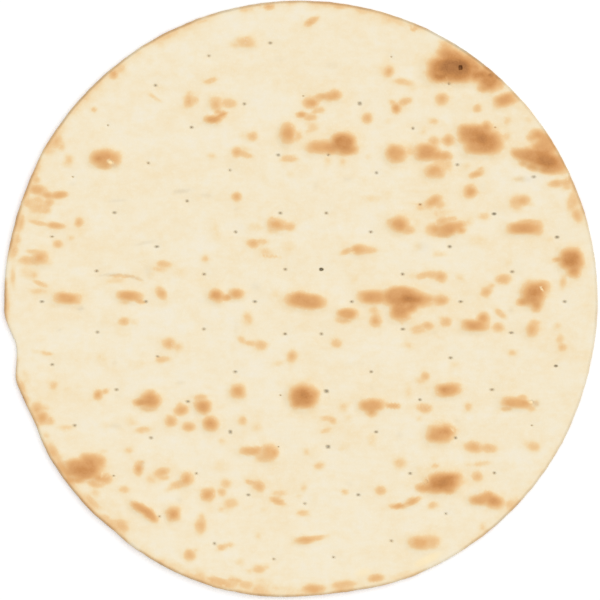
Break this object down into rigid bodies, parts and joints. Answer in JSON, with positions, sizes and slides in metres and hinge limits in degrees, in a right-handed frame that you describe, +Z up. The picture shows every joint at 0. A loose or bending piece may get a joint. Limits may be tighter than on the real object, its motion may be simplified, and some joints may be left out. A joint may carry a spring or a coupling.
{
  "type": "round cracker bread",
  "caption": "Large thin round crisp flatbread, blistered and browned in spots, with rings of small docker holes through it.",
  "frame": {"origin": "middle of the underside's resting face, at the height of the surface it lies on", "axes": "+Z up out of the shown side, +Y towards the top of the picture, +X towards its right"},
  "size_m": [0.3785, 0.3803, 0.0061],
  "materials": {
    "baked_crust": "dry matte baked wheat crust, pale cream with golden to brown toasted blisters"
  },
  "bodies": {
    "root": {"cracker_bread": "baked_crust"}
  },
  "joints": []
}
